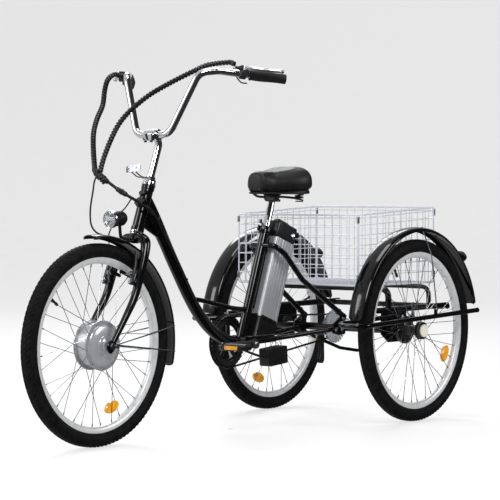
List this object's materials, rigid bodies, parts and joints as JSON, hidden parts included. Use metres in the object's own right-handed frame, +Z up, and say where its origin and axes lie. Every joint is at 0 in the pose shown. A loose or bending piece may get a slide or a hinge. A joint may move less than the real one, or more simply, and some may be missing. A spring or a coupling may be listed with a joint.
{
  "type": "electric tricycle",
  "caption": "Adult step-through tricycle with a front hub motor, a slide-in battery behind the seat tube, a riser bar and a wire basket between the rear wheels.",
  "frame": {"origin": "on the ground, under the middle of the tricycle's overall box", "axes": "+Z up, -Y is the way it rides, +X is the rider's left"},
  "size_m": [0.74, 1.8576, 1.1551],
  "materials": {
    "black_paint": "gloss black enamel",
    "chrome": "polished chrome plate",
    "silver": "satin zinc plate",
    "motor_alloy": "turned and clear coated",
    "battery_alloy": "silver anodised extrusion",
    "dark_steel": "black oxide and paint",
    "tyre_rubber": "moulded rubber",
    "grip_rubber": "moulded rubber",
    "black_plastic": "fine grain",
    "cap_plastic": "fine grain",
    "cable_black": "smooth jacket",
    "saddle_skin": "grained vinyl",
    "basket_white": "white dipped wire",
    "tail_red": "moulded lens"
  },
  "bodies": {
    "frame": {"front_frame": "black_paint", "upper_headset": "chrome", "lower_headset": "chrome", "rear_carriage": "black_paint", "left_fender_rail": "black_paint", "right_fender_rail": "black_paint", "left_rear_fender": "black_paint", "right_rear_fender": "black_paint", "left_tail_light": "tail_red", "right_tail_light": "tail_red", "left_axle_bearing": "dark_steel", "right_axle_bearing": "dark_steel", "basket_floor": "basket_white", "basket_front": "basket_white", "basket_back": "basket_white", "basket_left": "basket_white", "basket_right": "basket_white", "drive_chain": "dark_steel", "rear_brake_band": "black_paint", "battery_dock": "cap_plastic", "controller_box": "black_plastic", "cable_loom": "cable_black"},
    "steering": {"fork": "black_paint", "stem": "chrome", "handlebar": "chrome", "left_grip": "grip_rubber", "right_grip": "grip_rubber", "left_lever_clamp": "black_plastic", "right_lever_clamp": "black_plastic", "front_fender": "black_paint", "headlight": "chrome", "left_cable_bundle": "cable_black", "front_brake_cable": "cable_black"},
    "front_wheel": {"front_tyre": "tyre_rubber", "front_rim": "silver", "hub_motor": "motor_alloy"},
    "left_lever": {"left_brake_lever": "silver"},
    "right_lever": {"right_brake_lever": "silver"},
    "throttle": {"throttle_sleeve": "black_plastic"},
    "shifter": {"shift_lever": "black_plastic"},
    "left_front_brake_arm": {"left_brake_arm": "black_paint"},
    "right_front_brake_arm": {"right_brake_arm": "black_paint"},
    "crankset": {"left_crank": "dark_steel", "chainset": "dark_steel"},
    "left_pedal_body": {"left_pedal": "black_plastic"},
    "right_pedal_body": {"right_pedal": "black_plastic"},
    "driven_axle": {"rear_axle": "dark_steel", "freewheel": "silver", "right_tyre": "tyre_rubber", "right_wheel": "silver"},
    "left_rear_wheel": {"left_tyre": "tyre_rubber", "left_wheel": "silver"},
    "band_brake_arm": {"rear_brake_arm": "silver"},
    "gear_changer": {"derailleur": "dark_steel"},
    "seat": {"seat_post": "chrome", "saddle_springs": "dark_steel", "saddle": "saddle_skin"},
    "clamp_lever": {"quick_release_lever": "dark_steel"},
    "battery_pack": {"battery": "battery_alloy"},
    "key": {"battery_key": "chrome"}
  },
  "joints": [
    {"name": "steering_turn", "type": "hinge", "parent": "frame", "child": "steering", "pos_m": [0, -0.44833, 0.64], "axis": [0, 0.3502, 0.9367], "range_deg": [-45, 45]},
    {"name": "front_wheel_spin", "type": "hinge", "parent": "steering", "child": "front_wheel", "pos_m": [0, -0.62533, 0.3035], "axis": [1, 0, 0], "continuous": true},
    {"name": "left_lever_squeeze", "type": "hinge", "parent": "steering", "child": "left_lever", "pos_m": [0.25812, -0.2478, 1.1223], "axis": [0.0063, 0.1376, 0.9905], "range_deg": [0, 14], "stiffness_Nm_per_rad": 0.8, "springref_deg": -17.19},
    {"name": "right_lever_squeeze", "type": "hinge", "parent": "steering", "child": "right_lever", "pos_m": [-0.25812, -0.2478, 1.1223], "axis": [0.0063, -0.1376, -0.9905], "range_deg": [0, 14], "stiffness_Nm_per_rad": 0.8, "springref_deg": -17.19},
    {"name": "throttle_twist", "type": "hinge", "parent": "steering", "child": "throttle", "pos_m": [-0.246, -0.21633, 1.118], "axis": [-0.6566, 0.7465, -0.1079], "range_deg": [0, 70], "stiffness_Nm_per_rad": 0.2, "springref_deg": -17.19},
    {"name": "shifter_turn", "type": "hinge", "parent": "steering", "child": "shifter", "pos_m": [-0.22105, -0.2447, 1.1221], "axis": [-0.6566, 0.7465, -0.1079], "range_deg": [-30, 30]},
    {"name": "left_brake_arm_swing", "type": "hinge", "parent": "steering", "child": "left_front_brake_arm", "pos_m": [0.054, -0.53292, 0.49227], "axis": [0, 0.9367, -0.3502], "range_deg": [-3.5, 0]},
    {"name": "right_brake_arm_swing", "type": "hinge", "parent": "steering", "child": "right_front_brake_arm", "pos_m": [-0.054, -0.53292, 0.49227], "axis": [0, 0.9367, -0.3502], "range_deg": [0, 3.5]},
    {"name": "crank_spin", "type": "hinge", "parent": "frame", "child": "crankset", "pos_m": [0, 0.04767, 0.275], "axis": [1, 0, 0], "continuous": true},
    {"name": "left_pedal_spin", "type": "hinge", "parent": "crankset", "child": "left_pedal_body", "pos_m": [0, -0.11733, 0.275], "axis": [1, 0, 0], "continuous": true},
    {"name": "right_pedal_spin", "type": "hinge", "parent": "crankset", "child": "right_pedal_body", "pos_m": [0, 0.21267, 0.275], "axis": [1, 0, 0], "continuous": true},
    {"name": "rear_axle_spin", "type": "hinge", "parent": "frame", "child": "driven_axle", "pos_m": [0, 0.59267, 0.3035], "axis": [1, 0, 0], "continuous": true},
    {"name": "left_wheel_spin", "type": "hinge", "parent": "frame", "child": "left_rear_wheel", "pos_m": [0.309, 0.59267, 0.3035], "axis": [1, 0, 0], "continuous": true},
    {"name": "band_brake_pull", "type": "hinge", "parent": "frame", "child": "band_brake_arm", "pos_m": [0.2685, 0.63867, 0.345], "axis": [1, 0, 0], "range_deg": [0, 20]},
    {"name": "gear_shift", "type": "slide", "parent": "frame", "child": "gear_changer", "axis": [1, 0, 0], "range_m": [-0.007, 0.007]},
    {"name": "seat_height", "type": "slide", "parent": "frame", "child": "seat", "axis": [0, 0.3354, 0.9421], "range_m": [-0.04, 0.1]},
    {"name": "seat_clamp_turn", "type": "hinge", "parent": "frame", "child": "clamp_lever", "pos_m": [0, 0.15199, 0.64547], "axis": [1, 0, 0], "range_deg": [0, 100]},
    {"name": "battery_lift", "type": "slide", "parent": "frame", "child": "battery_pack", "axis": [0, 0.3354, 0.9421], "range_m": [0, 0.05]},
    {"name": "key_turn", "type": "hinge", "parent": "battery_pack", "child": "key", "pos_m": [0.0373, 0.277, 0.61794], "axis": [1, 0, 0], "range_deg": [0, 90]}
  ],
  "couplings": [
    {"joint": "crank_spin", "follows": "rear_axle_spin", "ratio": 0.445},
    {"joint": "left_brake_arm_swing", "follows": "right_lever_squeeze", "ratio": -0.25},
    {"joint": "right_brake_arm_swing", "follows": "right_lever_squeeze", "ratio": 0.25},
    {"joint": "band_brake_pull", "follows": "left_lever_squeeze", "ratio": 1.4},
    {"joint": "gear_shift", "follows": "shifter_turn", "m_per_rad": 0.0133}
  ]
}
